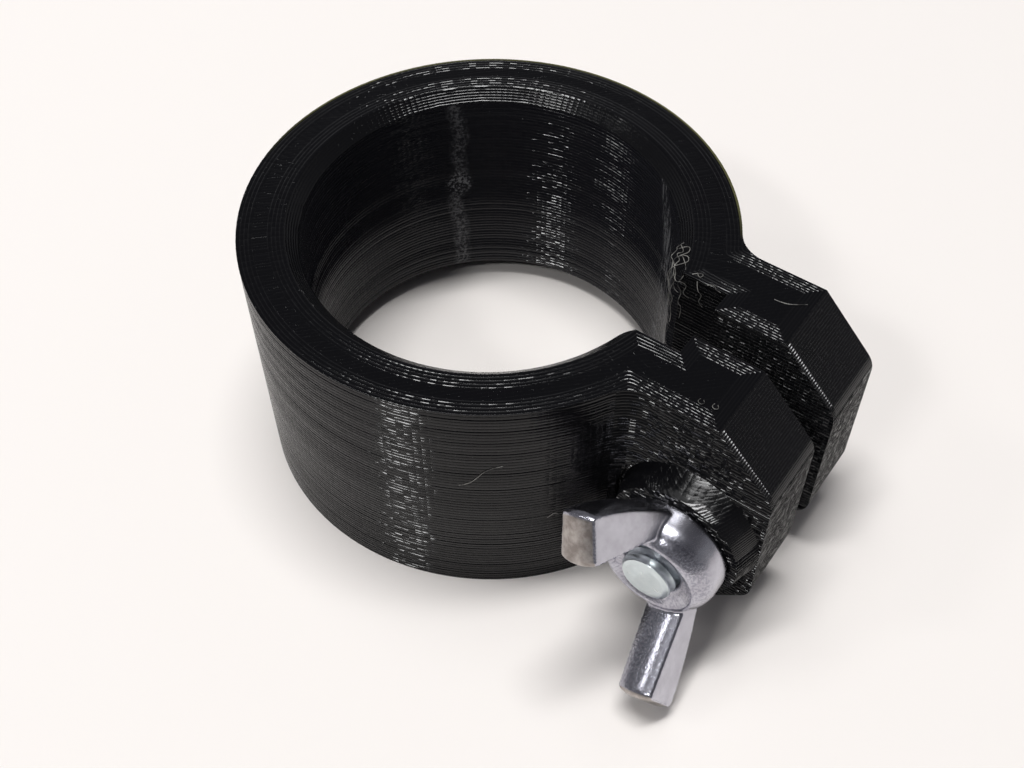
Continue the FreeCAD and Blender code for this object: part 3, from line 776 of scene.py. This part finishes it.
# %% Bolt blank and head
blank_length = HEAD_SEAT + BLANK_INTO_HEAD - bolt_low.y
bpy.ops.object.select_all(action="DESELECT")
bpy.ops.mesh.primitive_cylinder_add(vertices=64, radius=MAJOR_R, depth=blank_length,
                                    location=(AXIS_X, bolt_low.y + blank_length / 2, AXIS_Z),
                                    rotation=(math.pi / 2, 0, 0))
blank = bpy.context.object
blank.name = "bolt_blank"
bpy.ops.object.transform_apply(location=True, rotation=True, scale=True)
select_in_edit(blank, lambda f: f.normal.y < -0.9, "polygons")
bpy.ops.mesh.bevel(offset=MAJOR_R - END_FLAT_R, segments=2, affect="EDGES")
bpy.ops.object.mode_set(mode="OBJECT")
alone(thread)
turning = thread.modifiers.new("turning", "BOOLEAN")
turning.operation = "INTERSECT"
turning.object = blank
turning.solver = "EXACT"
bpy.ops.object.modifier_apply(modifier=turning.name)
bpy.data.objects.remove(blank)

head = copy_node("bolt", "bolt_head")
bpy.ops.object.mode_set(mode="EDIT")
cut_across(HEAD_SEAT + HEAD_CUT, clear_inner=True)
bpy.ops.object.mode_set(mode="OBJECT")
softening = head.modifiers.new("softening", "BEVEL")
softening.width = HEAD_ROUNDING
softening.segments = 2
softening.limit_method = "ANGLE"
softening.angle_limit = math.radians(25)
bpy.ops.object.modifier_apply(modifier=softening.name)
thread.select_set(True)
bpy.context.view_layer.objects.active = thread
bpy.ops.object.join()
bpy.ops.object.shade_smooth_by_angle(angle=math.radians(SMOOTH_BELOW))
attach(thread, "bolt")
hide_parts("bolt")
print("threaded bolt:", count_faces(thread), "triangles")

# %% [markdown]
# Forging dies have no knife edges, and the barrel wears the nut's edges further. So the nut is
# a copy of its CAD node too. It is cut into even cells of 0.15 mm, and a smoothing over a few
# of them rounds every edge to a radius of about 0.2 mm, outside edges and hollow ones alike.

# %% Rounded wing nut
CELL = 0.15 * MM
WEAR_STEPS = 8

nut = copy_node("wing_nut", "rounded_wing_nut")
cells = nut.modifiers.new("cells", "REMESH")
cells.mode = "VOXEL"
cells.voxel_size = CELL
bpy.ops.object.modifier_apply(modifier=cells.name)
wear = nut.modifiers.new("wear", "SMOOTH")
wear.factor = 0.5
wear.iterations = WEAR_STEPS
bpy.ops.object.modifier_apply(modifier=wear.name)
bpy.ops.object.shade_smooth()
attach(nut, "wing_nut")
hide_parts("wing_nut")
print("wing nut:", count_faces(nut), "triangles")

# %% [markdown]
# Bright zinc plate with a clear passivate. Bare zinc mirrors about two thirds of the light and
# has a cool, slightly blue cast. The nut was forged between two dies and then barrel plated.
# The wings' sides are smooth and satin; the faces towards the bolt's end keep the die's
# hammered grain, about 0.2 mm across, which breaks a highlight into specks. The bump alone shows
# too few of them at this size, so the same grain is also painted into the plate's colour as
# darker specks, a painted highlight pattern, but not on the tips. The wing tips are rougher, and
# their colour is painted darker and a little brown: a painted reflection of the dark room in front.

# %% Zinc plate
GRAIN = 0.22
GRAIN_HEIGHT = 0.016
WAVE_HEIGHT = 0.025
PAINTED_SPECK_SHARE = 0.8
BEYOND_HUB = -19.0
SATIN_SIDES = 0.26
SATIN_FORGED = 0.23
DULL_TIPS = 0.34

zinc, shader, add = new_material("bright_zinc_plate")
spot = place_in_mm(add)
outward = add("SeparateXYZ", add("TexCoord", out="Normal"), out="Y")
forged = add("MapRange", add("Math", outward, operation="ABSOLUTE"), 0.12, 0.4, 0.1, 1.0)
beyond_hub = add("Math", add("SeparateXYZ", spot, out="Y"), BEYOND_HUB, operation="LESS_THAN")
tips = add("Math", add("MapRange", outward, -0.68, -0.8, 0.0, 1.0), beyond_hub, operation="MULTIPLY")
grain = add("TexNoise", inputs={"Vector": spot, "Scale": 1 / GRAIN, "Detail": 1.0, "Roughness": 0.6})
wave = add("TexNoise", inputs={"Vector": spot, "Scale": 1 / 2.5, "Detail": 3.0})
cloud = add("TexNoise", inputs={"Vector": spot, "Scale": 1 / 1.4, "Detail": 4.0, "Roughness": 0.6})
hammered = add("Math", grain, GRAIN_HEIGHT, operation="MULTIPLY")
hammered = add("Math", hammered, forged, operation="MULTIPLY")
surface = add("Math", wave, WAVE_HEIGHT, hammered, operation="MULTIPLY_ADD")
bump = add("Bump", inputs={"Height": surface, "Distance": MM, "Strength": 1.0})
tone = tone_ramp(add, cloud, (0.35, "#b4b3bc"), (0.65, "#c3c3cc"))
# Painted reflection: the tips are painted darker and browner, as the dark room in front mirrors in them
painted_tip_reflection = tone_ramp(add, cloud, (0.4, "#8c8581"), (0.6, "#b5afab"))
plate = blend(add, tips, tone, painted_tip_reflection)
# Painted highlight: the grain darkens the plate in specks, standing in for a highlight broken up by the
# grain
painted_glint_specks = tone_ramp(add, grain, (0.38, "#cbcbd0"), (0.6, "#ffffff"))
painted_speck_share = add("Math", forged, tips, operation="SUBTRACT")
painted_speck_share = add("Math", painted_speck_share, PAINTED_SPECK_SHARE, operation="MULTIPLY", use_clamp=True)
plate = blend(add, painted_speck_share, plate, painted_glint_specks, blend_type="MULTIPLY")
satin = add("MapRange", forged, 0.1, 1.0, SATIN_SIDES, SATIN_FORGED)
dull = add("Mix", inputs={0: tips, 2: satin, 3: DULL_TIPS})
link(plate, shader, "Base Color")
link(dull, shader, "Roughness")
link(bump, shader, "Normal")
shader.inputs["Metallic"].default_value = 1.0
dress(nut, zinc)

# %% [markdown]
# Bright zinc plate on the bolt. Its wire was drawn and its thread rolled, so it has no hammered
# grain. It is paler than the nut and only clouded a little.

# %% Zinc on the bolt
bolt_zinc, shader, add = new_material("bolt_zinc_plate")
spot = place_in_mm(add)
cloud = add("TexNoise", inputs={"Vector": spot, "Scale": 1 / 0.9, "Detail": 4.0, "Roughness": 0.6})
tone = tone_ramp(add, cloud, (0.0, "#c4cfd2"), (1.0, "#e0e8ea"))
link(tone, shader, "Base Color")
link(add("MapRange", cloud, 0.3, 0.7, 0.36, 0.26), shader, "Roughness")
link(add("Bump", inputs={"Height": cloud, "Distance": 0.02 * MM}), shader, "Normal")
shader.inputs["Metallic"].default_value = 1.0
dress(thread, bolt_zinc)
